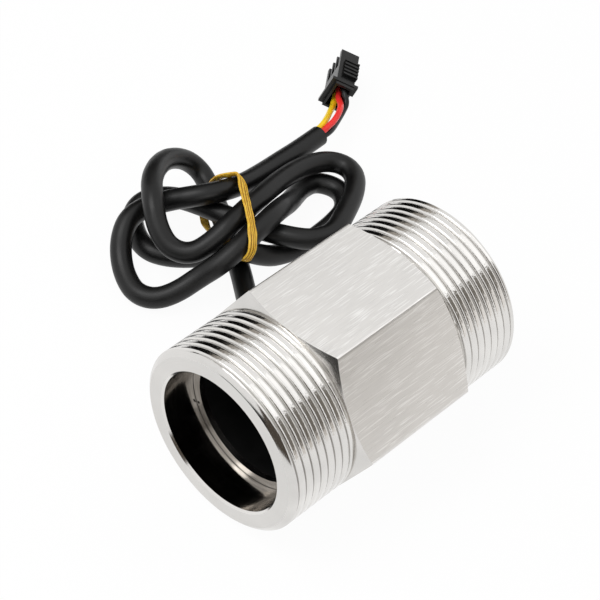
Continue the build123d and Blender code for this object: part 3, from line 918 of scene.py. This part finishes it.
# Cards round the object, seen only in reflections: soft boxes, the lamp's back and arm, the dark room past
# the table and under the camera, and a pale wall. Name, colour, strength and corners in millimetres.
CARDS = (
    ("soft_box", "#ffffff", 1.35, ((40, 5, 300), (40, -208, 216), (290, -208, 216), (290, 5, 300))),
    ("front_box", "#ffffff", 1.35, ((-330, 0, 290), (-60, -330, 290), (20, -230, 390), (-230, 100, 390))),
    ("far_flag", "#0a0a09", 1.0, ((0, 340, -23.9), (280, 180, -23.9), (280, 180, 96), (0, 340, 260))),
    ("far_haze", "#a49e96", 1.0, ((0, 340, 260), (280, 180, 96), (280, 170, 175), (0, 290, 310))),
    (
        "near_flag", "#141210", 1.0,
        ((-240, 110, -23.9), (-240, -110, -23.9), (-240, -110, 62), (-240, 110, 50)),
    ),
    (
        "camera_side_flag", "#544d46", 1.0,
        ((-240, -50, -23.9), (-160, -230, -23.9), (-160, -230, 130), (-240, -50, 170)),
    ),
    ("lamp_back", "#77726b", 1.0, ((40, -298, 31), (40, -208, 216), (290, -208, 216), (290, -298, 31))),
    ("lamp_arm", "#d6d1cb", 1.0, ((40, -300, -10), (40, -298, 31), (290, -298, 31), (290, -300, -10))),
    ("pale_wall", "#f8f5f2", 1.0, ((20, -420, -23.9), (420, -120, -23.9), (420, -120, 120), (20, -420, 150))),
)
# The key lamp's place and the side of its square, in metres.
KEY_PLACE = (-0.25, 0.15, 0.55)
KEY_SIDE = 0.4

# The camera, found from the body's own edges in the photograph: where it stands as seen from the origin, how
# far off it is, how far to the right and up it is moved in its own frame, in millimetres, and its roll.
CAMERA_AZIMUTH = math.radians(-49.8589)
CAMERA_ELEVATION = math.radians(46.2643)
CAMERA_ROLL = math.radians(6.0582)
CAMERA_SHIFT = (-8.03, 14.059, 502.951)


def light_tent(context, stage):
    """World that is white to the eye and in reflections, with the sky setting's strength on matt surfaces."""
    world = bpy.data.worlds.new("light_tent")
    context.scene.world = world
    world.use_nodes = True
    tree = world.node_tree
    tree.nodes.clear()
    soft = add_node(tree, "ShaderNodeBackground", {"Color": (1, 1, 1, 1), "Strength": stage.sky_strength})
    seen = add_node(tree, "ShaderNodeBackground", {"Color": (1, 1, 1, 1), "Strength": 1.0})
    shaders = {0: seen_directly(tree), 1: soft.outputs[0], 2: seen.outputs[0]}
    mixed = add_node(tree, "ShaderNodeMixShader", shaders)
    add_node(tree, "ShaderNodeOutputWorld", {"Surface": mixed.outputs[0]})


def put_up_cards():
    """The cards, hidden from everything but reflections."""
    for name, tone, strength, corners in CARDS:
        verts = [(x * MM, y * MM, z * MM) for x, y, z in corners]
        card = mesh_piece(name, verts, [(0, 1, 2, 3)], glowing_card(name, tone, strength))
        card.visible_camera = False
        card.visible_diffuse = False
        card.visible_transmission = False
        card.visible_shadow = False


def key_lamp(context, stage):
    """Large soft lamp above the inlet's far side, pointed at the origin."""
    key = bpy.data.lights.new("key_light", "AREA")
    key.shape = "RECTANGLE"
    key.size = KEY_SIDE
    key.size_y = KEY_SIDE
    key.energy = stage.key_strength
    lamp = bpy.data.objects.new("key_light", key)
    lamp.location = KEY_PLACE
    lamp.rotation_mode = "QUATERNION"
    lamp.rotation_quaternion = Vector(KEY_PLACE).to_track_quat("Z", "Y")
    context.scene.collection.objects.link(lamp)


def photo_camera(context, stage):
    """Camera at the photograph's place, with its roll."""
    away = math.cos(CAMERA_ELEVATION)
    back = Vector(
        (math.sin(CAMERA_AZIMUTH) * away, -math.cos(CAMERA_AZIMUTH) * away, math.sin(CAMERA_ELEVATION))
    )
    level_right = (-back).cross(Vector((0, 0, 1))).normalized()
    level_up = level_right.cross(-back)
    right = level_right * math.cos(CAMERA_ROLL) + level_up * math.sin(CAMERA_ROLL)
    up = level_up * math.cos(CAMERA_ROLL) - level_right * math.sin(CAMERA_ROLL)
    turn = Matrix((right, up, back)).transposed()
    lens = bpy.data.cameras.new("camera")
    lens.sensor_width = 36
    lens.lens = stage.lens
    lens.clip_start = 0.01
    lens.clip_end = 50
    camera = bpy.data.objects.new("camera", lens)
    context.scene.collection.objects.link(camera)
    camera.matrix_world = Matrix.Translation(turn @ Vector(CAMERA_SHIFT) * MM) @ turn.to_4x4()
    context.scene.camera = camera


class SENSOR_OT_stage(bpy.types.Operator):
    """White floor, soft light and the camera"""

    bl_idname = "sensor.stage"
    bl_label = "Stage"

    def execute(self, context):
        stage = context.scene.sensor_stage
        light_tent(context, stage)
        reach = 2.0
        corners = [(x * reach, y * reach, FLOOR_HEIGHT) for x, y in ((-1, -1), (1, -1), (1, 1), (-1, 1))]
        floor = mesh_piece("floor", corners, [(0, 1, 2, 3)], white_sheet())
        put_up_cards()
        key_lamp(context, stage)
        photo_camera(context, stage)
        context.scene.view_settings.view_transform = "Standard"
        return {"FINISHED"}


class SENSOR_PT_panel(bpy.types.Panel):
    """Sizes, colours and the steps that build the sensor"""

    bl_idname = "SENSOR_PT_panel"
    bl_label = "Flow Sensor"
    bl_space_type = "VIEW_3D"
    bl_region_type = "UI"
    bl_category = "Flow Sensor"

    def draw(self, context):
        layout = self.layout
        for group in (context.scene.sensor_body, context.scene.sensor_lead, context.scene.sensor_stage):
            box = layout.box()
            for key in group.__annotations__:
                box.prop(group, key)
        for step in STEPS:
            layout.operator("sensor." + step)


STEPS = ("body", "inner", "sensing", "cable", "wires", "connector", "band", "lead_facts", "stage")

CLASSES = (
    SensorBodySizes,
    SensorLeadSizes,
    SensorStageSettings,
    SENSOR_OT_body,
    SENSOR_OT_inner,
    SENSOR_OT_sensing,
    SENSOR_OT_cable,
    SENSOR_OT_wires,
    SENSOR_OT_connector,
    SENSOR_OT_band,
    SENSOR_OT_lead_facts,
    SENSOR_OT_stage,
    SENSOR_PT_panel,
)


def register():
    for cls in CLASSES:
        bpy.utils.register_class(cls)
    bpy.types.Scene.sensor_body = PointerProperty(type=SensorBodySizes)
    bpy.types.Scene.sensor_lead = PointerProperty(type=SensorLeadSizes)
    bpy.types.Scene.sensor_stage = PointerProperty(type=SensorStageSettings)


def unregister():
    for name in ("sensor_body", "sensor_lead", "sensor_stage"):
        delattr(bpy.types.Scene, name)
    for cls in reversed(CLASSES):
        bpy.utils.unregister_class(cls)


def main():
    register()
    for step in STEPS:
        getattr(bpy.ops.sensor, step)()


if __name__ == "__main__":
    main()
